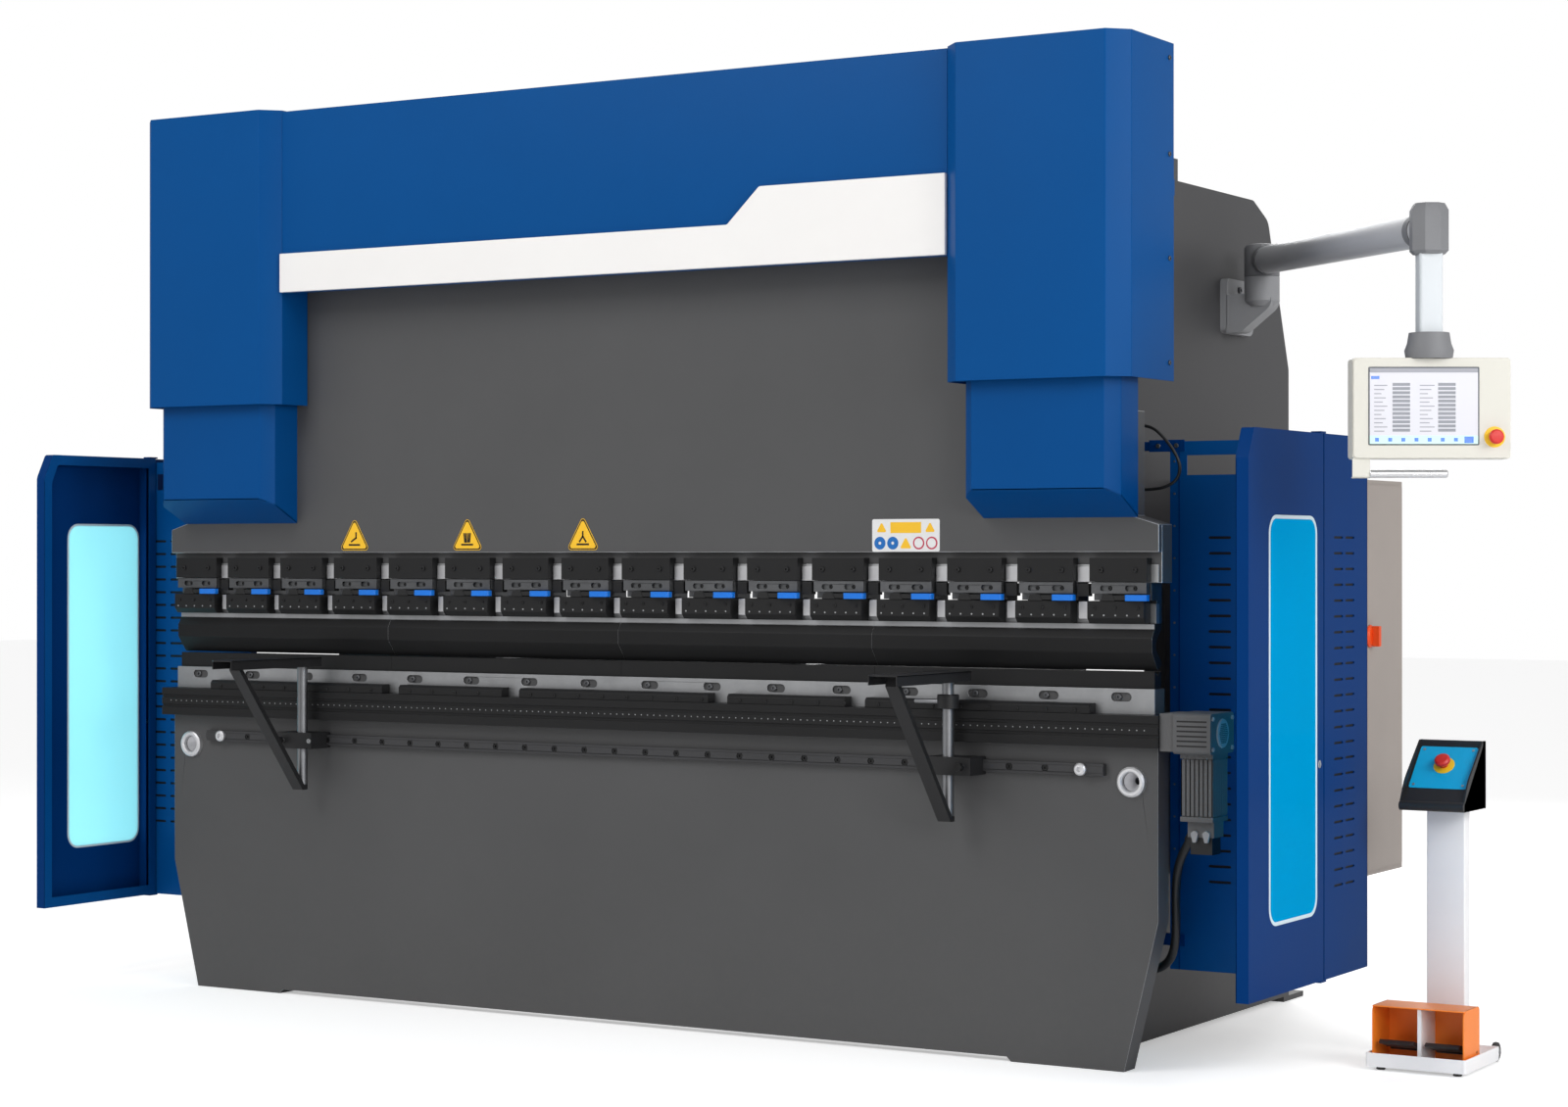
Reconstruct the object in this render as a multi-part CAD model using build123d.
from build123d import *
import math
import os

# Hydraulic press brake with die crowning, side guards, an operator panel on a swing arm,
# a quick-clamp row on the ram and a free-standing foot pedal console.
# Lengths are millimetres. While modelling, X runs to the right along the bend line, Y to the
# rear from the bend line and Z up from the floor. Each node is saved about the origin of the
# finished part: the centre of the anchor-hole pattern, on the floor.

# Overall sizes
bend_length = 3200
bed_height = 807
throat_depth = 480
frame_depth = 1350
frame_height = 1470
stroke = 200

# Plate and sheet thicknesses, and clearances
bed_thickness = 64
frame_thickness = 60
ram_thickness = 80
tie_thickness = 20
sheet = 3
running_gap = 0.05
moving_gap = 0.3
seam_gap = 4

# Feet and anchor holes
foot_height = 15
foot_width = 170
foot_length = 150
anchor_radius = 13
anchor_inset = 115
front_anchor_step = 25
rear_anchor_step = 37

# Side frames
frame_inset = 210
frame_front = 100
jaw_drop = 17
throat_height = 460
throat_radius = 100
nose_length = 130
nose_rise = 80
frame_top_setback = 263
shoulder_setback = 154
shoulder_drop = 49
rear_slope_drop = 462

# Bed plate
bed_taper_height = 374
bed_taper = 92
bed_foot_inset = 405
bed_notch = 12
eye_inset = 70
eye_drop = 87
eye_radius = 38.5
eye_bore = 24
eye_depth = 14

# Crowning table, die strips, die rail and dies
table_height = 80
table_depth = 140
table_overhang = 17
table_groove = 8
strip_height = 26
strip_depth = 36
strip_lengths = (640, 360, 620, 360, 640)
strip_gap = 60
rail_height = 63
rail_depth = 60
rail_inset = 10
rail_hole_length = 55
rail_hole_height = 22
rail_hole_depth = 6
rail_hole_drop = 21
die_height = 42
die_depth = 38
die_groove = 24
tool_inset = 15
tool_segments = 4
tool_seam = 0.5
tip_gap = 3

# Punches
punch_height = 116
shank_half = 9
shank_rise = 49
shoulder_half = 20
shoulder_height = 14
neck_front = 34
neck_rear = 12
foot_rear = 24
heel_height = 52
throat_drop = 44

# Quick clamps and their levers
clamp_count = 16
clamp_width = 156
clamp_front = 50
clamp_rear = 40
clamp_plate_height = 57
clamp_body_height = 44
clamp_block_height = 62
jaw_gap = 0.2
lever_offset = 47
lever_y = 40
lever_height = 16
lever_hub = 11
lever_pin = 4
lever_reach = 106
handle_length = 51
handle_depth = 30
handle_height = 15

# Ram
ram_end_overhang = 6
ram_beam_height = 145
ram_shoulder = 74
ram_shoulder_rise = 22
ram_recess = 20
ram_recess_height = 76
ram_wing_height = 428
ram_top_height = 888
ram_core_inset = 420

# Ties between the side frames
ledge_width = 200
low_tie_setback = 70
low_tie_z = 60
low_tie_height = 300
high_tie_drop = 120
high_tie_height = 280
shelf_rear_setback = 300
shelf_lip = 7
front_tie_height = 160

# Tank shelf, oil tank and pipes
shelf_setback = 20
shelf_drop = 207
tank_width = 1200
tank_setback = 60
tank_depth = 440
tank_height = 210
pump_length = 120
pump_radius = 55
pump_axis_rise = 100
pump_motor_length = 360
pump_motor_radius = 90
filler_x = 420
filler_height = 60
filler_radius = 45
bank_start = 120
bank_length = 200
bank_depth = 160
bank_height = 110
terminal_box_front = 470
terminal_box_length = 95
terminal_box_height = 58
pipe_inset = 100
pipe_y = 250
pipe_radius = 9
pipe_bend = 40

# Linear guides between side frames and ram
guide_width = 30
guide_depth = 30
guide_length = 550
slider_width = 100
slider_height = 200
slider_rise = 190

# Ear behind the ram's right end that holds the ram cable
ear_inset = 130
ear_thickness = 8
ear_reach = 100
ear_rise = 218
ear_height = 205

# Hydraulic cylinders
cylinder_radius = 92
cylinder_bore = 70
rod_radius = 50
gland_height = 50
cylinder_lift = 240
cylinder_height = 600
piston_height = 50
piston_lift = 250
mount_width = 210
mount_height = 200
valve_size = 100
valve_height = 60

# Cylinder covers, centre fascia and stripe
cover_front = 205
cover_rear = 95
cover_inset = 14
cover_width = 506
cover_bevel = 48
cover_bottom_rise = 503
cover_height = 844
strap_drop = 97
strap_height = 40
fascia_front = 157
fascia_drop = 524
stripe_depth = 13
stripe_low = 111
stripe_high = 206
stripe_step_start = 433
stripe_step_end = 532

# Covers on the ram
ram_cover_front = 170
ram_cover_inset = 50
ram_cover_width = 428
ram_cover_bevel = 32
ram_cover_lip = 162
ram_cover_front_rise = 68
ram_cover_height = 406

# Crowning gear motor and its connector
coupling_length = 39
gear_length = 103
gear_drop = 92
motor_drop = 166
plug_drop = 81

# Support rail and sheet supports
support_rail_inset = 140
support_rail_drop = 59
support_rail_height = 30
support_rail_depth = 20
rail_bolt_pitch = 100
rail_bolt_radius = 14
stud_radius = 16
carriage_length = 126
carriage_height = 46
post_radius = 15
post_y = 100
post_inset = 548
post_drop = 200
support_plate_drop = 4
support_plate_width = 100
support_plate_reach = 433
brace_width = 37
brace_reach = 280
collar_radius = 30
collar_drop = 78

# Side guards and doors
guard_overhang = 335
guard_bottom = 229
guard_top_rise = 775
door_front = 265
door_rear = 215
door_depth = 33
door_chamfer = 35
hinge_inset = 8
hinge_setback = 9
hinge_pin = 4
lug_thickness = 5
lug_width = 26
guard_setback = 40
infill_inset = 79
infill_window_margin = 46
infill_window_clearance = 35
infill_window_drop = 48
infill_window_height = 50
window_front = 130
window_rear = 49
window_sill = 171
window_top = 210
window_radius = 40
pane = 5

# Electrical cabinet and main switch
cabinet_width = 460
cabinet_setback = 50
cabinet_length = 495
cabinet_drop = 372
cabinet_height = 1045
switch_setback = 235
switch_rise = 632
switch_radius = 30

# Operator panel on its swing arm
pivot_reach = 110
pivot_y = 880
arm_start_drop = 45
arm_end_drop = 103
hub_radius = 48
hub_drop = 147
hub_height = 90
bracket_height = 240
arm_pin = 20
arm_radius = 38
arm_reach = 848
arm_run = 1074
elbow_radius = 42
elbow_drop = 44
elbow_height = 117
drop_width = 54
drop_length = 340
coupling_radius = 56
panel_drop = 399
panel_height = 231
panel_width = 361
panel_depth = 62
panel_turn = 31
panel_corner = 8
panel_estop_across = 143
estop_stem = 11
estop_cap = 17
estop_travel = 12
screen_inset = 38.5
screen_width = 247
spigot_height = 55
grab_strip = 40
grab_drop = 34
grab_length = 178
grab_radius = 9
panel_estop_rise = 50

# Foot pedal console
console_offset = 200
console_y = 442
console_width = 257
console_length = 262
console_foot = 10
console_floor = 4
console_edge = 34
column_width = 100
column_depth = 40
column_y = 560
column_top = 640
head_width = 168
head_depth = 176
head_height = 170
hood_width = 236
hood_height = 146
hood_depth = 118
pedal_width = 88
pedal_pin = 4
wheel_radius = 25
wheel_width = 18

# Back gauge
gauge_rail_inset = 180
gauge_rail_width = 60
gauge_rail_height = 60
gauge_rail_drop = 107
gauge_rail_setback = 250
gauge_arm_inset = 90
gauge_arm_width = 80
gauge_post = 40
gauge_post_y = 360
gauge_post_rise = 178
gauge_beam_drop = 62
finger_front = 46
gauge_beam_height = 70
gauge_beam_depth = 60
finger_x = 500
finger_width = 60

# Cables
motor_cable_diameter = 22
ram_cable_diameter = 8

# Heights and positions that follow from the sizes above
half_bed = bend_length / 2
bed_front = -bed_thickness / 2
bed_rear = bed_thickness / 2
ram_half = ram_thickness / 2
frame_outer = half_bed - frame_inset
frame_inner = frame_outer - frame_thickness
frame_middle = frame_outer - frame_thickness / 2
front_anchor_y = frame_front + front_anchor_step
rear_anchor_y = frame_depth + rear_anchor_step
origin_y = (front_anchor_y + rear_anchor_y) / 2
frame_top_length = frame_depth - frame_top_setback
shoulder_y = frame_depth - shoulder_setback
shelf_front = throat_depth + shelf_setback
tank_front = shelf_front + tank_setback
frame_top = bed_height + frame_height
shelf_top = frame_top - shelf_drop
jaw_top = bed_height - jaw_drop
throat_top = jaw_top + throat_height
table_top = bed_height + table_height
rail_top = table_top + rail_height
die_top = rail_top + die_height
tip_z = die_top + tip_gap
punch_top = tip_z + punch_height
clamp_seat = punch_top + clamp_plate_height
ram_bottom = clamp_seat + clamp_body_height
beam_top = ram_bottom + ram_beam_height
wing_top = ram_bottom + ram_wing_height
ram_top = ram_bottom + ram_top_height
cover_bottom = ram_bottom + cover_bottom_rise
cover_top = cover_bottom + cover_height
fascia_bottom = cover_top - fascia_drop
cylinder_bottom = wing_top + cylinder_lift
cylinder_top = cylinder_bottom + cylinder_height
guard_top = bed_height + guard_top_rise
tool_half = half_bed - tool_inset
rail_half = half_bed - rail_inset
table_half = half_bed + table_overhang
ear_x = half_bed - ear_inset
cover_outer = half_bed - cover_inset
cover_inner = cover_outer - cover_width
ram_cover_outer = half_bed - ram_cover_inset
ram_cover_inner = ram_cover_outer - ram_cover_width
support_rail_half = half_bed - support_rail_inset
post_x = half_bed - post_inset
post_bottom = bed_height - post_drop
support_plate_top = die_top - support_plate_drop
collar_z = support_plate_top - collar_drop
guard_x = half_bed + guard_overhang
guard_rear = throat_depth + guard_setback
infill_inner = half_bed - infill_inset
infill_front = door_rear + seam_gap
infill_window_inner = infill_inner + infill_window_margin
infill_window_outer = guard_x - infill_window_clearance
window_bottom = guard_bottom + window_sill
cabinet_front = throat_depth + cabinet_setback
cabinet_rear = cabinet_front + cabinet_length
cabinet_bottom = bed_height - cabinet_drop
cabinet_top = cabinet_bottom + cabinet_height
switch_y = cabinet_front + switch_setback
switch_z = cabinet_bottom + switch_rise
pivot_x = frame_outer + pivot_reach
hub_top = frame_top - hub_drop
hub_bottom = hub_top - hub_height
bracket_bottom = hub_top - bracket_height
arm_start_z = hub_top - arm_start_drop
arm_end_z = hub_top - arm_end_drop
elbow_x = pivot_x + arm_reach
elbow_y = pivot_y - arm_run
elbow_top = hub_top - elbow_drop
elbow_bottom = elbow_top - elbow_height
drop_bottom = hub_top - drop_length
panel_top = hub_top - panel_drop
panel_bottom = panel_top - panel_height
panel_estop_z = panel_bottom + panel_estop_rise
console_x = guard_x + console_offset
gauge_rail_x = frame_inner - gauge_rail_inset
gauge_rail_top = bed_height - gauge_rail_drop
gauge_rail_rear = frame_depth - gauge_rail_setback
gauge_post_top = die_top + gauge_post_rise
gauge_beam_bottom = die_top - gauge_beam_drop


def block(x, y, z):
    """A box between the low and high ends given for each axis."""
    size = Box(x[1] - x[0], y[1] - y[0], z[1] - z[0])
    return Pos((x[0] + x[1]) / 2, (y[0] + y[1]) / 2, (z[0] + z[1]) / 2) * size


def outline(corners):
    """A flat face through (u, v) corners; a third number rounds its corner."""
    points = [corner[:2] for corner in corners]
    radii = [corner[2] if len(corner) == 3 else 0 for corner in corners]
    if any(radii):
        return make_face(FilletPolyline(*points, radius=radii, close=True))
    return make_face(Polyline(*points, close=True))


def plate_yz(corners, x_low, x_high):
    """A plate with its outline in (y, z), from x_low to x_high."""
    return extrude(Plane.YZ.offset(x_low) * outline(corners), x_high - x_low)


def plate_xz(corners, y_low, y_high):
    """A plate with its outline in (x, z), from y_low to y_high."""
    return extrude(Plane.XZ.offset(-y_high) * outline(corners), y_high - y_low)


def plate_xy(corners, z_low, z_high):
    """A plate with its outline in (x, y), from z_low to z_high."""
    return extrude(Plane.XY.offset(z_low) * outline(corners), z_high - z_low)


def upright(x, y, z_low, z_high, radius):
    """A round bar that stands along Z."""
    return Pos(x, y, (z_low + z_high) / 2) * Cylinder(radius, z_high - z_low)


def bar_between(start, end, radius):
    """A round bar from one point to another."""
    along = Vector(*end) - Vector(*start)
    return extrude(Plane(origin=start, z_dir=along) * Circle(radius), along.length)


def bar_x(y, z, x_low, x_high, radius):
    """A round bar along X."""
    return bar_between((x_low, y, z), (x_high, y, z), radius)


def bar_y(x, z, y_low, y_high, radius):
    """A round bar along Y."""
    return bar_between((x, y_low, z), (x, y_high, z), radius)


def both_sides(*shapes):
    """The shapes of the right side with their mirror images on the left."""
    return [side for shape in shapes for side in (shape, mirror(shape, about=Plane.YZ))]


def clear_cut(low, high):
    """A span that reaches past both ends, for cutting right through."""
    return (low - 1, high + 1)


def save(name, *shapes):
    """Write one node, moved to the part's origin, with each of its pieces as a solid."""
    solids = []
    for shape in shapes:
        for solid in shape.solids():
            solids.append(solid.moved(Pos(0, -origin_y, 0)))
    export_step(Compound(solids), f"parts/{name}.step")


def corner_radii(points):
    """Bend radii for a cable route: 0.45 of the shorter run over the tangent of half the turn."""
    radii = []
    for before, corner, after in zip(points, points[1:], points[2:]):
        run_in = Vector(*corner) - Vector(*before)
        run_out = Vector(*after) - Vector(*corner)
        half_turn = math.radians(run_in.get_angle(run_out)) / 2
        radii.append(0.45 * min(run_in.length, run_out.length) / math.tan(half_turn))
    return radii


def cable(name, points, diameter):
    """A round cable along straight runs joined by tangent arcs."""
    radii = corner_radii(points)
    path = FilletPolyline(*points, radius=radii)
    start = Plane(origin=points[0], z_dir=Vector(*points[1]) - Vector(*points[0]))
    tube = sweep(start * Circle(diameter / 2), path=path)
    section = math.pi * diameter ** 2 / 4
    print(name, "radii", [round(radius) for radius in radii])
    print(name, "length", round(path.length), "volume ratio", round(tube.volume / section / path.length, 4))
    return tube


# ---------------------------------------------------------------- welded frame

def side_frame():
    """C-shaped side plate with a rounded throat and a sloping rear shoulder."""
    corners = [
        (bed_rear, foot_height),
        (bed_rear, jaw_top),
        (throat_depth, jaw_top, throat_radius),
        (throat_depth, throat_top, throat_radius),
        (frame_front + nose_length, throat_top),
        (frame_front, throat_top + nose_rise),
        (frame_front, frame_top),
        (frame_top_length, frame_top, 40),
        (shoulder_y, frame_top - shoulder_drop, 50),
        (frame_depth, frame_top - rear_slope_drop, 40),
        (frame_depth, foot_height),
    ]
    return plate_yz(corners, frame_inner, frame_outer)


def foot_pad(y):
    """Steel pad under a side frame with a hole for a floor anchor."""
    inner = frame_outer - foot_width
    pad = block((inner, frame_outer), (y - foot_length / 2, y + foot_length / 2), (0, foot_height))
    return pad - upright(frame_outer - anchor_inset, y, *clear_cut(0, foot_height), anchor_radius)


def bed_plate():
    """Front plate of the bed: tapered ends, a relieved underside and two lifting bores."""
    half_foot = half_bed - bed_foot_inset
    corners = [
        (half_bed - bed_taper, 0), (half_bed, bed_taper_height), (half_bed, bed_height),
        (-half_bed, bed_height), (-half_bed, bed_taper_height), (bed_taper - half_bed, 0),
        (-half_foot, 0), (bed_notch - half_foot, bed_notch),
        (half_foot - bed_notch, bed_notch), (half_foot, 0),
    ]
    plate = plate_xz(corners, bed_front, bed_rear)
    for x in (eye_inset - half_bed, half_bed - eye_inset):
        plate -= bar_y(x, bed_height - eye_drop, *clear_cut(bed_front, bed_rear), eye_bore)
    return plate


def cross_members():
    """Plates that tie the side frames, the shelf for the oil tank and the ram's guide rails."""
    span = (-frame_inner, frame_inner)
    shelf_rear = frame_depth - shelf_rear_setback
    low_tie_y = frame_depth - low_tie_setback
    bed_ledge = block(span, (bed_rear, bed_rear + ledge_width), (jaw_top - tie_thickness, jaw_top))
    low_tie = block(span, (low_tie_y, low_tie_y + tie_thickness), (low_tie_z, low_tie_z + low_tie_height))
    high_tie_top = frame_top - high_tie_drop
    high_tie = block(
        span, (shelf_rear, shelf_rear + tie_thickness), (high_tie_top - high_tie_height, high_tie_top)
    )
    shelf = block(span, (shelf_front, shelf_rear), (shelf_top - tie_thickness, shelf_top))
    front_tie_top = shelf_top + shelf_lip
    front_tie = block(
        span, (shelf_front - tie_thickness, shelf_front), (front_tie_top - front_tie_height, front_tie_top)
    )
    guide_low = throat_top + nose_rise
    guide = block(
        (frame_middle - guide_width / 2, frame_middle + guide_width / 2),
        (frame_front - guide_depth, frame_front),
        (guide_low, guide_low + guide_length),
    )
    return [bed_ledge, low_tie, high_tie, shelf, front_tie] + both_sides(guide)


def hydraulic_unit():
    """Oil tank on the frame's shelf with its pump motor, filler, valve bank, pipes and terminal box."""
    tank_top = shelf_top + tank_height
    half = tank_width / 2
    rear = tank_front + tank_depth
    tank = block((-half, half), (tank_front, rear), (shelf_top, tank_top))
    hollow_x = (sheet - half, half - sheet)
    tank -= block(hollow_x, (tank_front + sheet, rear - sheet), (shelf_top + sheet, tank_top - sheet))
    middle = (tank_front + rear) / 2
    motor_axis = tank_top + pump_axis_rise
    pump_end = -pump_length / 2
    foot_x = (pump_end - pump_motor_length + 40, pump_end - 40)
    motor = bar_x(middle, motor_axis, pump_end - pump_motor_length, pump_end, pump_motor_radius)
    motor_foot = block(foot_x, (middle - 60, middle + 60), (tank_top, motor_axis - 60))
    pump = bar_x(middle, motor_axis, pump_end, -pump_end, pump_radius)
    filler = upright(filler_x, middle, tank_top, tank_top + filler_height, filler_radius)
    bank_x = (bank_start, bank_start + bank_length)
    bank_y = (middle - bank_depth / 2, middle + bank_depth / 2)
    valves = block(bank_x, bank_y, (tank_top, tank_top + bank_height))
    parts = [tank, motor + motor_foot, pump, filler, valves]
    pipe_z = cylinder_top + valve_height / 2
    for side in (-1, 1):
        pipe_x = side * (half - pipe_inset)
        start = (pipe_x, tank_front + pipe_bend, tank_top)
        route = [
            start, (pipe_x, tank_front + pipe_bend, pipe_z), (pipe_x, pipe_y, pipe_z),
            (side * frame_middle, pipe_y, pipe_z), (side * frame_middle, valve_size / 2, pipe_z),
        ]
        path = FilletPolyline(*route, radius=pipe_bend)
        parts.append(sweep(Plane(origin=start, z_dir=(0, 0, 1)) * Circle(pipe_radius), path=path))
    box_y = (terminal_box_front, terminal_box_front + terminal_box_length)
    parts.append(block((frame_inner, frame_outer), box_y, (frame_top, frame_top + terminal_box_height)))
    return parts


def cylinder():
    """Hydraulic cylinder with its gland, its bolted mounting block and a valve block on top."""
    barrel = upright(frame_middle, 0, cylinder_bottom, cylinder_top, cylinder_radius)
    mount_low = cylinder_bottom + 70
    barrel += block(
        (frame_middle - mount_width / 2, frame_middle + mount_width / 2),
        (-60, frame_front),
        (mount_low, mount_low + mount_height),
    )
    bore_low = cylinder_bottom + gland_height
    barrel -= upright(frame_middle, 0, cylinder_bottom - 1, bore_low, rod_radius + running_gap)
    barrel -= upright(frame_middle, 0, bore_low, cylinder_top - 40, cylinder_bore)
    valve = block(
        (frame_middle - valve_size / 2, frame_middle + valve_size / 2),
        (-valve_size / 2, valve_size / 2),
        (cylinder_top, cylinder_top + valve_height),
    )
    return barrel + valve


def cover_outline(inner, outer, front, bevel, rear, wall=0):
    """Plan outline of a bevelled cover on the right, moved in by the wall."""
    corner = wall * math.tan(math.radians(22.5))
    return [
        (inner + wall, rear), (inner + wall, -front + bevel + corner),
        (inner + bevel + corner, -front + wall), (outer - bevel - corner, -front + wall),
        (outer - wall, -front + bevel + corner), (outer - wall, rear),
    ]


def cylinder_cover():
    """Sheet cover round a cylinder: closed top, open rear, slotted inside where the ram passes."""
    sizes = (cover_inner, cover_outer, cover_front, cover_bevel)
    cover = plate_xy(cover_outline(*sizes, cover_rear), cover_bottom, cover_top)
    cover -= plate_xy(cover_outline(*sizes, cover_rear + 1, sheet), cover_bottom - 1, cover_top - sheet)
    slot_top = ram_top + stroke + 10
    slot = (-ram_half - 5, cover_rear + 1)
    cover -= block(clear_cut(cover_inner, cover_inner + sheet), slot, (cover_bottom - 1, slot_top))
    strap_z = (frame_top - strap_drop, frame_top - strap_drop + strap_height)
    return [cover, block((cover_inner, cover_outer), (cover_rear, frame_front), strap_z)]


def centre_fascia():
    """Folded sheet panel between the cylinder covers."""
    half = cover_inner
    face = block((-half, half), (-fascia_front, sheet - fascia_front), (fascia_bottom, cover_top - sheet))
    lid = block((-half, half), (-fascia_front, cover_rear), (cover_top - 2 * sheet, cover_top - sheet))
    lip = block((-half, half), (-fascia_front, 30 - fascia_front), (fascia_bottom, fascia_bottom + sheet))
    return face + lid + lip


def fascia_stripe():
    """Pale band along the foot of the fascia, stepped up on the right."""
    corners = [
        (-cover_inner, fascia_bottom), (cover_inner, fascia_bottom),
        (cover_inner, fascia_bottom + stripe_high), (stripe_step_end, fascia_bottom + stripe_high),
        (stripe_step_start, fascia_bottom + stripe_low), (-cover_inner, fascia_bottom + stripe_low),
    ]
    return plate_xz(corners, -fascia_front - stripe_depth, -fascia_front)


# ---------------------------------------------------------------- bed tooling

def crowning_table():
    """Crowning table with a grooved front, and the strips that clamp the die rail to it."""
    half_depth = table_depth / 2
    table = block((-table_half, table_half), (-half_depth, half_depth), (bed_height, table_top))
    for low in (bed_height + 24, bed_height + 52):
        groove_y = (-half_depth - 1, 4 - half_depth)
        table -= block(clear_cut(-table_half, table_half), groove_y, (low, low + table_groove))
    parts = [table]
    strip_y = (-rail_depth / 2 - strip_depth, -rail_depth / 2)
    start = -(sum(strip_lengths) + strip_gap * (len(strip_lengths) - 1)) / 2
    for length in strip_lengths:
        parts.append(block((start, start + length), strip_y, (table_top, table_top + strip_height)))
        start += length + strip_gap
    return parts


def die_rail():
    """Hardened rail that carries the dies, with a row of oblong pockets."""
    rail = block((-rail_half, rail_half), (-rail_depth / 2, rail_depth / 2), (table_top, rail_top))
    pitch = bend_length / clamp_count
    pocket_z = rail_top - rail_hole_drop
    for index in range(clamp_count):
        place = Pos(-half_bed + pitch * (index + 0.5), pocket_z)
        slot = place * SlotOverall(rail_hole_length, rail_hole_height)
        rail -= extrude(Plane.XZ.offset(rail_depth / 2 + 1) * slot, -rail_hole_depth - 1)
    return rail


def tool_spans():
    """Left and right ends of each punch and die segment."""
    length = 2 * tool_half / tool_segments
    lows = [-tool_half + length * index for index in range(tool_segments)]
    return [(low + tool_seam / 2, low + length - tool_seam / 2) for low in lows]


def dies():
    """Die segments with a vee along the top."""
    half = die_depth / 2
    vee = die_groove / 2
    corners = [
        (-half, rail_top), (half, rail_top), (half, die_top), (vee, die_top),
        (0, die_top - vee), (-vee, die_top), (-half, die_top),
    ]
    return [plate_yz(corners, *span) for span in tool_spans()]


def punches():
    """Goose-neck punch segments: shank, shoulder, forward neck and a foot that reaches the bend line."""
    straight = punch_height - heel_height - throat_drop
    low_bend = min(12, 0.6 * straight)
    high_bend = min(10, 0.5 * straight)
    corners = [
        (0, tip_z), (foot_rear, tip_z + 15), (foot_rear - 4, tip_z + 22),
        (-neck_rear, tip_z + heel_height, low_bend), (-neck_rear, punch_top - throat_drop, high_bend),
        (shoulder_half, punch_top - shoulder_height),
        (shoulder_half, punch_top), (shank_half, punch_top), (shank_half, punch_top + shank_rise),
        (-shank_half, punch_top + shank_rise), (-shank_half, punch_top), (-shoulder_half, punch_top),
        (-shoulder_half, punch_top - shoulder_height), (-neck_front, punch_top - 36, 8),
        (-neck_front, tip_z + 45, 8),
    ]
    return [plate_yz(corners, *span) for span in tool_spans()]


# ---------------------------------------------------------------- clamps

def clamp_centres():
    """Middle of each quick clamp along the ram."""
    pitch = bend_length / clamp_count
    return [-half_bed + pitch * (index + 0.5) for index in range(clamp_count)]


def lever_pivot(centre):
    """Position of a clamp lever's pin along the ram."""
    return centre - clamp_width / 2 + lever_offset


def clamp_body(centre):
    """One quick clamp: screwed block, body with a lever slot, and two jaws round the punch shank."""
    low = centre - clamp_width / 2
    high = centre + clamp_width / 2
    jaw = shank_half + jaw_gap
    recess = ram_half - ram_recess
    corners = [
        (-clamp_front, punch_top), (-jaw, punch_top), (-jaw, clamp_seat), (jaw, clamp_seat),
        (jaw, punch_top), (clamp_rear, punch_top), (clamp_rear, ram_bottom), (-recess, ram_bottom),
        (-recess, ram_bottom + clamp_block_height), (-clamp_front, ram_bottom + clamp_block_height),
        (-clamp_front, ram_bottom + 16), (4 - clamp_front, ram_bottom), (4 - clamp_front, clamp_seat),
        (-clamp_front, clamp_seat - 8),
    ]
    body = plate_yz(corners, low, high)
    pivot = lever_pivot(centre)
    slot_z = (clamp_seat - 2, clamp_seat + lever_height)
    body -= block((pivot - lever_hub - 2, high + 1), (-clamp_front - 1, lever_hub + 3 - lever_y), slot_z)
    return body + upright(pivot, -lever_y, slot_z[0] - 1, slot_z[1] + 1, lever_pin)


def clamp_lever(centre):
    """Quick-clamp lever: bored hub, flat arm along the clamp and a coloured grip."""
    pivot = lever_pivot(centre)
    low = clamp_seat - 1
    high = clamp_seat + lever_height - 1
    arm_end = pivot + lever_reach - handle_length
    lever = upright(pivot, -lever_y, low, high, lever_hub)
    lever += block((pivot, arm_end), (-lever_y - lever_hub, 6 - lever_y), (low + 1, high - 1))
    lever -= upright(pivot, -lever_y, *clear_cut(low, high), lever_pin + running_gap)
    grip_y = -lever_y - lever_hub - handle_depth + 12
    grip_z = (low + high - handle_height) / 2
    grip_span = (arm_end, arm_end + handle_length)
    return [lever, block(grip_span, (grip_y, grip_y + handle_depth), (grip_z, grip_z + handle_height))]


# ---------------------------------------------------------------- ram

def ram_plate():
    """Ram: deep lower beam, shoulders, wings under the cylinders, a tall middle and the guide sliders."""
    end = half_bed + ram_end_overhang
    wing = end - ram_shoulder
    core = half_bed - ram_core_inset
    right = [
        (end, ram_bottom), (end, beam_top), (wing, beam_top + ram_shoulder_rise),
        (wing, wing_top), (core, wing_top), (core, ram_top),
    ]
    left = [(-x, z) for x, z in reversed(right)]
    ram = plate_xz(right + left, -ram_half, ram_half)
    recess_z = (ram_bottom - 1, ram_bottom + ram_recess_height)
    ram -= block((-half_bed, half_bed), (-ram_half - 1, ram_recess - ram_half), recess_z)
    low = ram_bottom + slider_rise
    slider = block(
        (frame_middle - slider_width / 2, frame_middle + slider_width / 2),
        (ram_half, frame_front - 5),
        (low, low + slider_height),
    )
    slider -= block(
        (frame_middle - guide_width / 2 - moving_gap, frame_middle + guide_width / 2 + moving_gap),
        (frame_front - guide_depth - moving_gap, frame_front),
        clear_cut(low, low + slider_height),
    )
    ear_z = (ram_bottom + ear_rise, ram_bottom + ear_rise + ear_height)
    ear = block((ear_x, ear_x + ear_thickness), (ram_half, ram_half + ear_reach), ear_z)
    return [ram] + both_sides(slider) + [ear]


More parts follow.
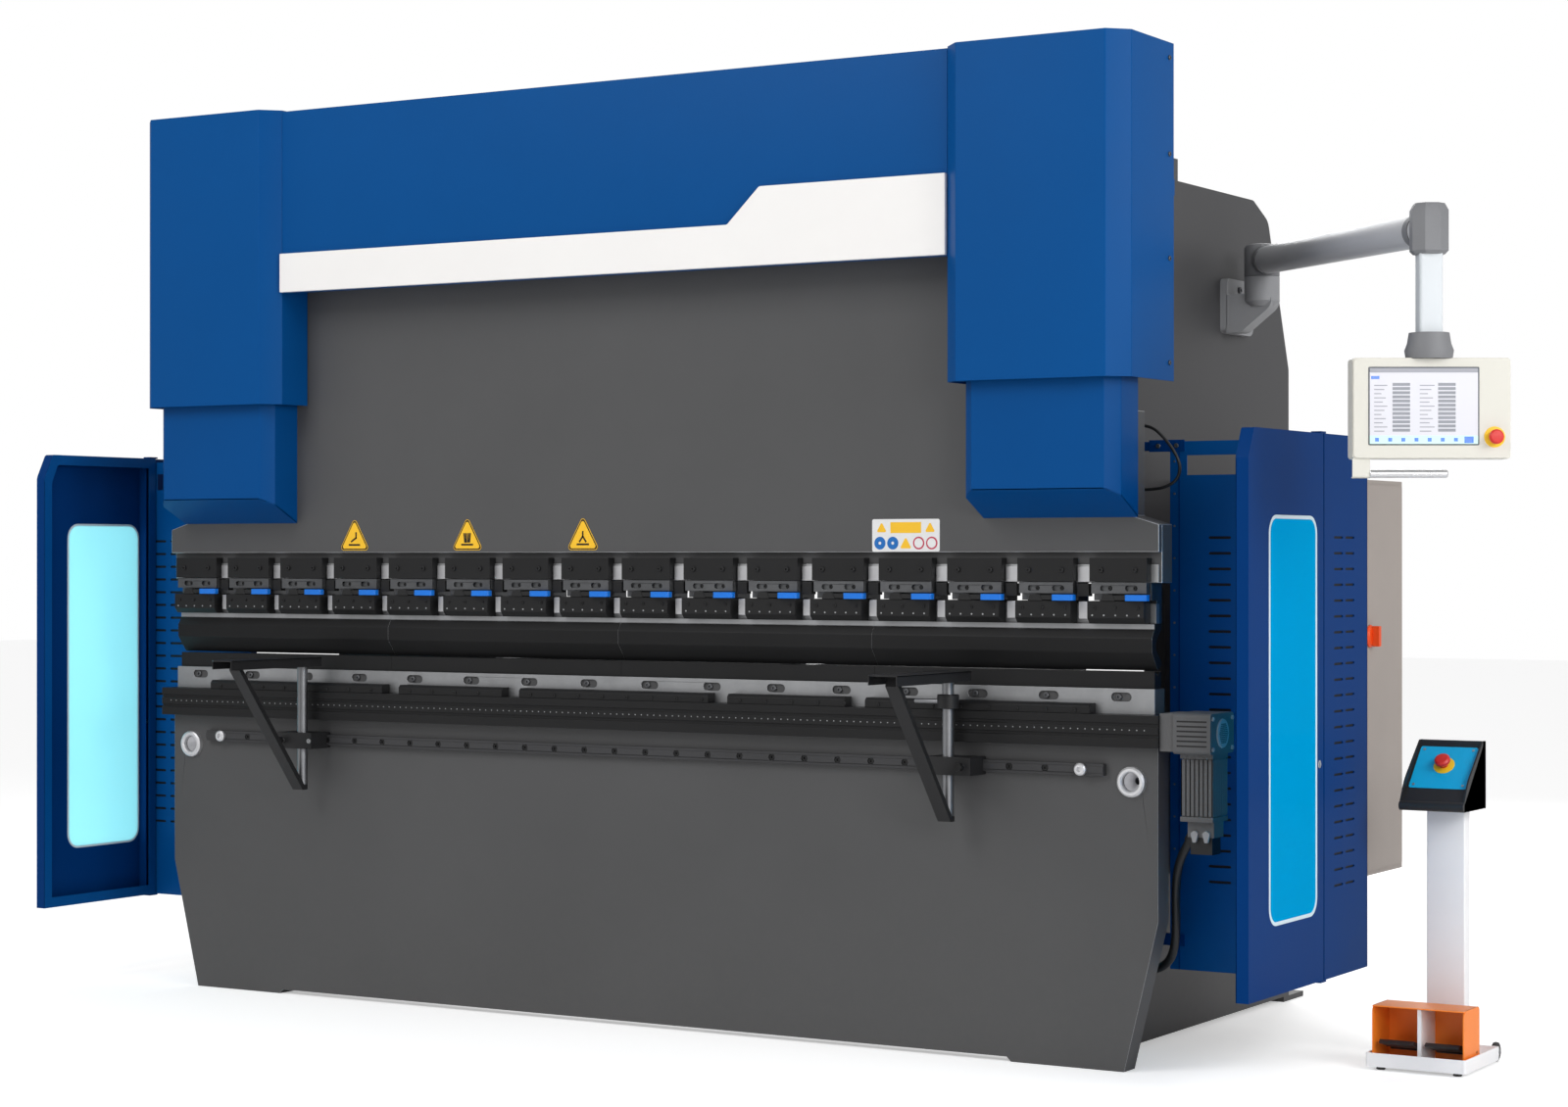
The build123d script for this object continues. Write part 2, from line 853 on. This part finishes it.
def ram_cover():
    """Sheet cover on the ram that telescopes into the cylinder cover, with a sloping underside."""
    sizes = (ram_cover_inner, ram_cover_outer, ram_cover_front, ram_cover_bevel)
    low = ram_bottom + ram_cover_lip
    high = low + ram_cover_height

    def under(lift):
        """What lies below the sloping underside, lifted by a wall."""
        toe = low + ram_cover_front_rise + lift
        corners = [
            (-ram_cover_front - 1, low - 1), (-ram_half + 1, low - 1), (-ram_half + 1, low + lift),
            (-ram_cover_front, toe), (-ram_cover_front - 1, toe),
        ]
        return plate_yz(corners, ram_cover_inner - 1, ram_cover_outer + 1)

    cover = plate_xy(cover_outline(*sizes, -ram_half), low, high) - under(0)
    inside = plate_xy(cover_outline(*sizes, -ram_half + 1, sheet), low, high + 1) - under(sheet)
    return cover - inside


def piston_rod():
    """Piston rod on the ram's wing with its piston inside the cylinder."""
    low = cylinder_bottom + gland_height + piston_lift
    rod = upright(frame_middle, 0, wing_top, low, rod_radius)
    return rod + upright(frame_middle, 0, low, low + piston_height, cylinder_bore - running_gap)


# ---------------------------------------------------------------- crowning drive and cables

motor_x = table_half + coupling_length
motor_bottom = table_top - gear_drop - motor_drop
plug_bottom = motor_bottom - plug_drop

motor_cable_points = [
    (1666, 12, 578), (1638, 30, 545), (1616, 48, 499), (1607, 58, 441), (1606, 64, 377),
    (1598, 78, 318), (1574, 106, 269), (1526, 146, 238), (1470, 172, 226), (1412, 172, 226),
]

ram_cable_points = [
    (1478, 125, 1608), (1510, 125, 1608), (1548, 127, 1574), (1576, 130, 1536), (1589, 132, 1500),
    (1578, 132, 1468), (1547, 129, 1451), (1510, 126, 1446), (1478, 126, 1446),
]


def gear_motor():
    """Crowning drive: coupling, angle gear head, upright motor and its elbow connector."""
    head = (motor_x, motor_x + gear_length)
    coupling = block((table_half, motor_x), (-60, 60), (table_top - 87, table_top + 6))
    gear = block(head, (-70, 75), (table_top - gear_drop, table_top + 8))
    motor = block((motor_x + 9, head[1] - 9), (-42, 48), (motor_bottom, table_top - gear_drop))
    plug = block((motor_x + 20, head[1] - 14), (-26, 34), (plug_bottom, motor_bottom))
    first = Vector(*motor_cable_points[0])
    inward = first - Vector(*motor_cable_points[1])
    inner_end = first + inward.normalized() * 32
    gland = bar_between(tuple(first), tuple(inner_end), motor_cable_diameter / 2 + 4)
    entry = motor_cable_points[-1]
    wall_gland = bar_x(entry[1], entry[2], frame_outer, entry[0], motor_cable_diameter / 2 + 7)
    return [coupling, gear, motor, plug + gland, wall_gland]


# ---------------------------------------------------------------- support rail and sheet supports

def support_rail():
    """Rail on the bed's front with counterbored screws, two ring studs and the lifting-bore rims."""
    z = bed_height - support_rail_drop
    front = bed_front - support_rail_depth
    half_height = support_rail_height / 2
    span = (-support_rail_half, support_rail_half)
    rail = block(span, (front, bed_front), (z - half_height, z + half_height))
    count = int(2 * support_rail_half / rail_bolt_pitch)
    for index in range(count):
        x = rail_bolt_pitch * (index - (count - 1) / 2)
        rail -= bar_y(x, z, front - 1, front + 8, rail_bolt_radius - 4)
    studs = [bar_y(side * (support_rail_half - 60), z, front - 12, front, stud_radius) for side in (-1, 1)]
    rims = []
    for side in (-1, 1):
        x = side * (half_bed - eye_inset)
        eye_z = bed_height - eye_drop
        rim = bar_y(x, eye_z, bed_front - eye_depth, bed_front, eye_radius)
        rims.append(rim - bar_y(x, eye_z, *clear_cut(bed_front - eye_depth, bed_front), eye_bore))
    return [rail] + studs + rims


def support_carriage(x, side):
    """Carriage that slides on the support rail and grips the post of a sheet support."""
    rail_z = bed_height - support_rail_drop
    half_height = carriage_height / 2
    front = -post_y - post_radius - 9
    back = bed_front - support_rail_depth - moving_gap
    low = x - carriage_length / 2 + side * 12
    body = block((low, low + carriage_length), (front, back), (rail_z - half_height, rail_z + half_height))
    lip = (bed_front - support_rail_depth - moving_gap, bed_front - 6)
    lip_gap = support_rail_height / 2 + moving_gap
    body += block((low, low + carriage_length), lip, (rail_z + lip_gap, rail_z + half_height))
    body += block((low, low + carriage_length), lip, (rail_z - half_height, rail_z - lip_gap))
    bore = clear_cut(rail_z - half_height, rail_z + half_height)
    body -= upright(x, -post_y, *bore, post_radius + running_gap)
    return body + bar_y(x + side * 52, rail_z, front - 26, front, 12)


def support_arm(x, with_collar):
    """Sheet support: upright post, folded top plate with a chamfered corner and a sloping brace."""
    rear = post_radius - post_y
    front = -post_y - support_plate_reach + 60
    low = x - support_plate_width / 2 + 8
    high = low + support_plate_width
    top = support_plate_top
    corners = [(low, rear), (low, front + 34), (low + 34, front), (high, front), (high, rear)]
    plate = plate_xy(corners, top - sheet, top)
    flange_low = top - 26
    plate += block((low, low + sheet), (front + 34, rear), (flange_low, top))
    plate += block((high - sheet, high), (front, rear), (flange_low, top))
    post = upright(x, -post_y, post_bottom, top - sheet, post_radius)
    toe = -post_y - brace_reach
    heel = -post_y - post_radius
    brace = [
        (toe, flange_low), (toe + 14, flange_low + 8), (toe + 24, top - sheet), (toe - 6, top - sheet),
        (toe - 14, flange_low - 4), (heel - 6, post_bottom), (-post_y, post_bottom),
        (-post_y, post_bottom + 14), (heel + 2, post_bottom + 14),
    ]
    arm = plate + post + plate_yz(brace, x - brace_width / 2, x + brace_width / 2)
    if with_collar:
        arm += upright(x, -post_y, collar_z - 18, collar_z + 18, collar_radius)
        arm += bar_x(-post_y - 6, collar_z, x - 92, x, 6)
    return arm


# ---------------------------------------------------------------- guards, doors, cabinet

def guard_panel():
    """Fixed side guard: louvred infill facing forward, rear side wall and its brackets."""
    infill_y = (infill_front, infill_front + sheet)
    infill = block((infill_inner, guard_x - sheet), infill_y, (guard_bottom, guard_top - 12))
    window_top_z = guard_top - infill_window_drop
    infill -= block(
        (infill_window_inner, infill_window_outer),
        clear_cut(*infill_y),
        (window_top_z - infill_window_height, window_top_z),
    )
    wall = block((guard_x - sheet, guard_x), (infill_front, guard_rear), (guard_bottom, guard_top))
    wall += block((guard_x - 34, guard_x), (guard_rear - sheet, guard_rear), (guard_bottom, guard_top))
    lug = (guard_x - lug_width, guard_x)
    pin_x = guard_x - hinge_inset
    pin_y = door_rear - hinge_setback
    lug_root = (infill_front + sheet, infill_front + 12)
    for face, outward in ((guard_top, 1), (guard_bottom, -1)):
        near = face + outward * moving_gap
        far = face + outward * lug_thickness
        inside = face - outward * 10
        wall += block(lug, (pin_y - 10, infill_front + 12), sorted((near, far)))
        wall += block(lug, lug_root, sorted((face - outward * 20, far)))
        wall += upright(pin_x, pin_y, *sorted((inside, far)), hinge_pin)
    parts = [infill, wall]
    for z in (guard_bottom + 60, guard_top - 38):
        strap_y = (infill_front - sheet, infill_front)
        strap = block((frame_outer + 74, infill_inner + 40), strap_y, (z, z + 30))
        arm = block((frame_outer, infill_inner - 1), (infill_front, infill_front + 40), (z + 4, z + 26))
        parts += [strap, arm]
    return parts


def guard_door():
    """Hinged guard door: a folded tray with a clear window held in a rebate."""
    corners = [
        (-door_front, guard_bottom), (door_rear, guard_bottom), (door_rear, guard_top),
        (door_chamfer - door_front, guard_top, 12), (-door_front, guard_top - 2 * door_chamfer, 30),
    ]
    inner = guard_x - door_depth
    tray = plate_yz(corners, inner, guard_x)
    pocket = [
        (sheet - door_front, guard_bottom + sheet), (door_rear - sheet, guard_bottom + sheet),
        (door_rear - sheet, guard_top - sheet), (door_chamfer - door_front, guard_top - sheet, 9),
        (sheet - door_front, guard_top - 2 * door_chamfer, 27),
    ]
    tray -= plate_yz(pocket, inner - 1, guard_x - sheet)
    window = [
        (window_front - door_front, window_bottom, window_radius),
        (door_rear - window_rear, window_bottom, window_radius),
        (door_rear - window_rear, guard_top - window_top, window_radius),
        (window_front - door_front, guard_top - window_top, window_radius),
    ]
    tray -= plate_yz(window, *clear_cut(inner, guard_x))
    tray -= upright(
        guard_x - hinge_inset, door_rear - hinge_setback,
        *clear_cut(guard_bottom, guard_top), hinge_pin + running_gap,
    )
    glazing = plate_yz(window, guard_x - pane, guard_x)
    return [tray, glazing]


def electrical_cabinet():
    """Cabinet on the right side frame, open towards the frame, with the switch shaft's hole."""
    outer = (frame_outer, frame_outer + cabinet_width)
    box = block(outer, (cabinet_front, cabinet_rear), (cabinet_bottom, cabinet_top))
    box -= block(
        (outer[0] - 1, outer[1] - sheet),
        (cabinet_front + sheet, cabinet_rear - sheet),
        (cabinet_bottom + sheet, cabinet_top - sheet),
    )
    return box - bar_x(switch_y, switch_z, *clear_cut(outer[1] - sheet, outer[1]), 8 + running_gap)


def main_switch():
    """Rotary main switch: round plate, finger bar and the shaft into the cabinet."""
    face = frame_outer + cabinet_width + moving_gap
    knob = bar_x(switch_y, switch_z, face, face + 10, switch_radius)
    knob += block((face + 10, face + 30), (switch_y - 9, switch_y + 9), (switch_z - 27, switch_z + 27))
    return knob + bar_x(switch_y, switch_z, face - 30, face, 8)


# ---------------------------------------------------------------- operator panel

def arm_bracket():
    """Cast bracket on the right side frame with the pin that the panel arm turns on."""
    root = frame_outer + 20
    tip = pivot_x + 40
    backplate = block((frame_outer, root), (pivot_y - 30, pivot_y + 160), (bracket_bottom, hub_bottom))
    web = plate_xz(
        [
            (root, bracket_bottom), (root + 40, bracket_bottom), (tip, bracket_bottom + 70),
            (tip, hub_bottom - 45), (root, hub_bottom - 45),
        ],
        pivot_y - 30, pivot_y + 30,
    )
    hub = upright(pivot_x, pivot_y, hub_bottom - 80, hub_bottom, hub_radius)
    pin = upright(pivot_x, pivot_y, hub_bottom - 1, hub_top - 12, arm_pin)
    return backplate + web + hub + pin


def swing_arm():
    """Panel arm: bored hub, long tube, elbow and the drop tube above the panel."""
    hub = upright(pivot_x, pivot_y, hub_bottom + moving_gap, hub_top, hub_radius)
    start = (pivot_x, pivot_y, arm_start_z)
    end = (elbow_x, elbow_y, arm_end_z)
    arm = hub + bar_between(start, end, arm_radius)
    arm -= upright(pivot_x, pivot_y, hub_bottom, hub_top - 10, arm_pin + running_gap)
    arm += upright(elbow_x, elbow_y, elbow_bottom, elbow_top, elbow_radius)
    half = drop_width / 2
    drop = block((-half, half), (-half, half), (drop_bottom, elbow_bottom))
    arm += Pos(elbow_x, elbow_y, 0) * Rot(0, 0, panel_turn) * drop
    return arm - upright(elbow_x, elbow_y, drop_bottom - 1, drop_bottom + 62, arm_pin + running_gap)


def turned_panel(shape):
    """Place a shape that was modelled about the drop tube's axis, facing the operator."""
    return Pos(elbow_x, elbow_y, 0) * Rot(0, 0, panel_turn) * shape


def control_panel():
    """Operator panel: housing, screen, swivel coupling, and a grab bar on a bracket under its left end."""
    half = panel_width / 2
    front = -panel_depth / 2
    housing = block((-half, half), (front, -front), (panel_bottom, panel_top))
    housing = fillet(housing.edges().filter_by(Axis.Y), panel_corner)
    bore_end = front + 2 * estop_travel
    housing -= bar_y(panel_estop_across, panel_estop_z, front - 1, bore_end, estop_stem + running_gap)
    coupling = upright(0, 0, panel_top, drop_bottom - moving_gap, coupling_radius)
    spigot = upright(0, 0, drop_bottom - 1, drop_bottom + spigot_height, arm_pin)
    screen_x = (screen_inset - half, screen_inset - half + screen_width)
    screen = block(screen_x, (front - sheet, front), (panel_bottom + 34, panel_top - 24))
    strip_end = grab_strip - half
    strip_y = (front + 4, front + 14)
    bracket = block((-half, strip_end), strip_y, (panel_bottom - grab_drop - 10, panel_bottom))
    bar = bar_x(front + 9, panel_bottom - grab_drop, strip_end, strip_end + grab_length, grab_radius)
    body = housing + coupling + spigot + bracket + bar
    return [turned_panel(body), turned_panel(screen)]


def panel_estop():
    """Mushroom stop button of the operator panel."""
    front = -panel_depth / 2
    stem = bar_y(panel_estop_across, panel_estop_z, front - 14, front + 14, estop_stem)
    cap = bar_y(panel_estop_across, panel_estop_z, front - 27, front - 13, estop_cap)
    return turned_panel(stem + cap)


# ---------------------------------------------------------------- foot pedal console

console_front = console_y - console_length / 2
console_back = console_y + console_length / 2
console_low = console_x - console_width / 2
console_high = console_x + console_width / 2
deck = console_foot + console_floor
hood_front = console_front + 20
hood_low = console_x - hood_width / 2
hood_high = console_x + hood_width / 2
pedal_hinge = (hood_front + hood_depth - 20, deck + 34)
axle_y = console_back + wheel_radius + 4
head_back = column_y + column_depth / 2 + 22
head_front = head_back - head_depth


def pedestal_stand():
    """Console base: floor plate with upturned edges, rubber feet, wheel forks and the column."""
    span_x = (console_low, console_high)
    base = block(span_x, (console_front, console_back), (console_foot, console_foot + console_edge))
    base -= block(
        (console_low + sheet, console_high - sheet),
        (console_front + sheet, console_back - sheet),
        (deck, console_foot + console_edge + 1),
    )
    base += block(
        (console_x - column_width / 2, console_x + column_width / 2),
        (column_y - column_depth / 2, column_y + column_depth / 2),
        (deck - 1, column_top),
    )
    for x in (console_low + 30, console_high - 30):
        base += upright(x, console_front + 30, 0, console_foot, 12)
        base += block((x - 4, x + 4), (console_back - 4, axle_y + 8), (wheel_radius - 8, wheel_radius + 8))
    return base - bar_x(axle_y, wheel_radius, *clear_cut(console_low, console_high), 5 + running_gap)


def pedestal_wheels():
    """Two transport wheels on one axle."""
    wheels = bar_x(axle_y, wheel_radius, console_low + 6, console_high - 6, 5)
    for x in (console_low + 30 - 6 - wheel_width, console_high - 30 + 6):
        wheels += bar_x(axle_y, wheel_radius, x, x + wheel_width, wheel_radius)
    return wheels


def pedestal_head():
    """Sloping console head with raised cheeks and a rolled front edge."""
    bottom = column_top
    top = bottom + head_height
    low = console_x - head_width / 2
    high = console_x + head_width / 2
    cheek = [
        (head_back, bottom), (head_back, top), (head_back - 22, top),
        (head_front + 40, bottom + 74, 120), (head_front + 10, bottom + 24), (head_front + 10, bottom),
    ]
    floor = [
        (head_back, bottom), (head_back, top), (head_back - 20, top), (head_back - 24, top - 14),
        (head_front + 44, bottom + 50), (head_front + 10, bottom + 18), (head_front + 10, bottom),
    ]
    head = plate_yz(floor, low, high)
    head += plate_yz(cheek, low, low + 4) + plate_yz(cheek, high - 4, high)
    head += bar_x(head_front + 12, bottom + 12, low, high, 12)
    return head - estop_bar(-1, 26, 11 + running_gap)


def estop_bar(low, high, radius):
    """A bar square to the console head's sloping face, between two depths below it."""
    top = column_top + head_height
    foot = Vector(0, head_front + 44, column_top + 50)
    crest = Vector(0, head_back - 24, top - 14)
    slope = (crest - foot).normalized()
    normal = Vector(0, -slope.Z, slope.Y)
    middle = foot + (crest - foot) * 0.55 + Vector(console_x, 0, 0)
    return bar_between(tuple(middle - normal * high), tuple(middle - normal * low), radius)


def pedestal_estop():
    """Mushroom stop button square to the console's sloping face."""
    return estop_bar(-14, 18, 11) + estop_bar(-30, -13, 20)


def pedestal_hood():
    """Protective hood over the pedals, open at the front, with a divider and the pedals' hinge pin."""
    back = hood_front + hood_depth
    top = deck + hood_height
    hood = block((hood_low, hood_high), (hood_front, back), (deck, top))
    inside = (hood_low + sheet, hood_high - sheet)
    hood -= block(inside, (hood_front - 1, back - sheet), (deck - 1, top - sheet))
    divider = block((console_x - 6, console_x + 6), (hood_front + 12, back - sheet), (deck, top - sheet))
    return hood + divider + bar_x(*pedal_hinge, hood_low, hood_high, pedal_pin)


def pedal(centre):
    """Foot pedal: sloping tread plate with a bored hinge barrel at its rear."""
    hinge_y, hinge_z = pedal_hinge
    low = centre - pedal_width / 2
    high = centre + pedal_width / 2
    corners = [
        (hinge_y - 4, hinge_z - 4), (hinge_y, hinge_z + 6), (hood_front + 14, hinge_z + 28),
        (hood_front + 4, hinge_z + 20), (hood_front + 10, hinge_z + 16),
    ]
    tread = plate_yz(corners, low, high) + bar_x(hinge_y, hinge_z, low, high, 9)
    return tread - bar_x(hinge_y, hinge_z, *clear_cut(low, high), pedal_pin + running_gap)


# ---------------------------------------------------------------- back gauge

def gauge_rails():
    """Rails of the back gauge on cross brackets from the side frames."""
    half = gauge_rail_width / 2
    rail = block(
        (gauge_rail_x - half, gauge_rail_x + half),
        (frame_front, gauge_rail_rear),
        (gauge_rail_top - gauge_rail_height, gauge_rail_top),
    )
    bracket_z = (gauge_rail_top - gauge_rail_height, gauge_rail_top - 12)
    for y in (frame_front + gauge_arm_inset, gauge_rail_rear - gauge_arm_inset - gauge_arm_width):
        rail += block((gauge_rail_x + half - 1, frame_inner), (y, y + gauge_arm_width), bracket_z)
    return both_sides(rail)


def gauge_carriage():
    """Gauge carriage on each rail with an upright post."""
    half = gauge_rail_width / 2 + moving_gap
    low = gauge_rail_top + moving_gap
    truck = (gauge_post_y - 60, gauge_post_y + 120)
    body = block((gauge_rail_x - 45, gauge_rail_x + 45), truck, (low - 30, low + 60))
    body -= block((gauge_rail_x - half, gauge_rail_x + half), clear_cut(*truck), (low - 31, low))
    post_span = (gauge_rail_x - gauge_post / 2, gauge_rail_x + gauge_post / 2)
    post = block(post_span, (gauge_post_y, gauge_post_y + gauge_post), (low + 59, gauge_post_top))
    return both_sides(body + post)


def gauge_fingers():
    """Gauge beam that rides on the posts, with stop fingers that reach towards the die."""
    back = gauge_post_y - moving_gap
    front = back - gauge_beam_depth
    beam_x = gauge_rail_x + 60
    beam_z = (gauge_beam_bottom, gauge_beam_bottom + gauge_beam_height)
    beam = block((-beam_x, beam_x), (front, back), beam_z)
    for side in (-1, 1):
        centre = side * gauge_rail_x
        post_back = gauge_post_y + gauge_post
        grip = block((centre - 40, centre + 40), (back - 1, post_back + 20), beam_z)
        reach = gauge_post / 2 + moving_gap
        socket_y = (back - 1, post_back + moving_gap)
        grip -= block((centre - reach, centre + reach), socket_y, clear_cut(*beam_z))
        stop = (side * finger_x - finger_width / 2, side * finger_x + finger_width / 2)
        arm = block(stop, (finger_front + 16, front + 1), (die_top - 30, die_top - 4))
        tip = block(stop, (finger_front, finger_front + 32), (die_top - 17, die_top + 20))
        beam += grip + arm + tip
    return beam


# ---------------------------------------------------------------- write every node

os.makedirs("parts", exist_ok=True)

save("side_frames", *both_sides(side_frame()))
save("foot_pads", *both_sides(foot_pad(front_anchor_y), foot_pad(rear_anchor_y)))
save("bed_front_plate", bed_plate())
save("cross_members", *cross_members())
save("hydraulic_unit", *hydraulic_unit())
save("cylinder_barrels", *both_sides(cylinder()))
save("cylinder_covers", *both_sides(*cylinder_cover()))
save("centre_fascia", centre_fascia())
save("fascia_stripe", fascia_stripe())
save("crowning_table", *crowning_table())
save("die_rail", die_rail())
save("dies", *dies())
save("crowning_gearmotor", *gear_motor())
save("motor_cable", cable("motor_cable", motor_cable_points, motor_cable_diameter))
save("support_rail", *support_rail())
save("guard_panels", *both_sides(*guard_panel()))
save("electrical_cabinet", electrical_cabinet())
save("arm_bracket", arm_bracket())
save("gauge_rails", *gauge_rails())

save("ram_plate", *ram_plate())
save("ram_covers", *both_sides(ram_cover()))
save("piston_rods", *both_sides(piston_rod()))
save("clamp_bodies", *[clamp_body(centre) for centre in clamp_centres()])
save("punches", *punches())
save("ram_cable", cable("ram_cable", ram_cable_points, ram_cable_diameter))
for number, centre in enumerate(clamp_centres(), start=1):
    save(f"lever_{number:02d}", *clamp_lever(centre))

save("support_carriage_left", support_carriage(-post_x, -1))
save("support_carriage_right", support_carriage(post_x, 1))
save("support_arm_left", support_arm(-post_x, False))
save("support_arm_right", support_arm(post_x, True))

door_parts = guard_door()
save("guard_door_right", *door_parts)
save("guard_door_left", *[mirror(part, about=Plane.YZ) for part in door_parts])

save("swing_arm", swing_arm())
save("control_panel", *control_panel())
save("panel_estop", panel_estop())
save("main_switch", main_switch())

save("pedestal_stand", pedestal_stand())
save("pedestal_wheels", pedestal_wheels())
save("pedestal_head", pedestal_head())
save("pedestal_estop", pedestal_estop())
save("pedestal_hood", pedestal_hood())
save("pedal_left", pedal(console_x - hood_width / 4))
save("pedal_right", pedal(console_x + hood_width / 4))

save("gauge_carriage", *gauge_carriage())
save("gauge_fingers", gauge_fingers())
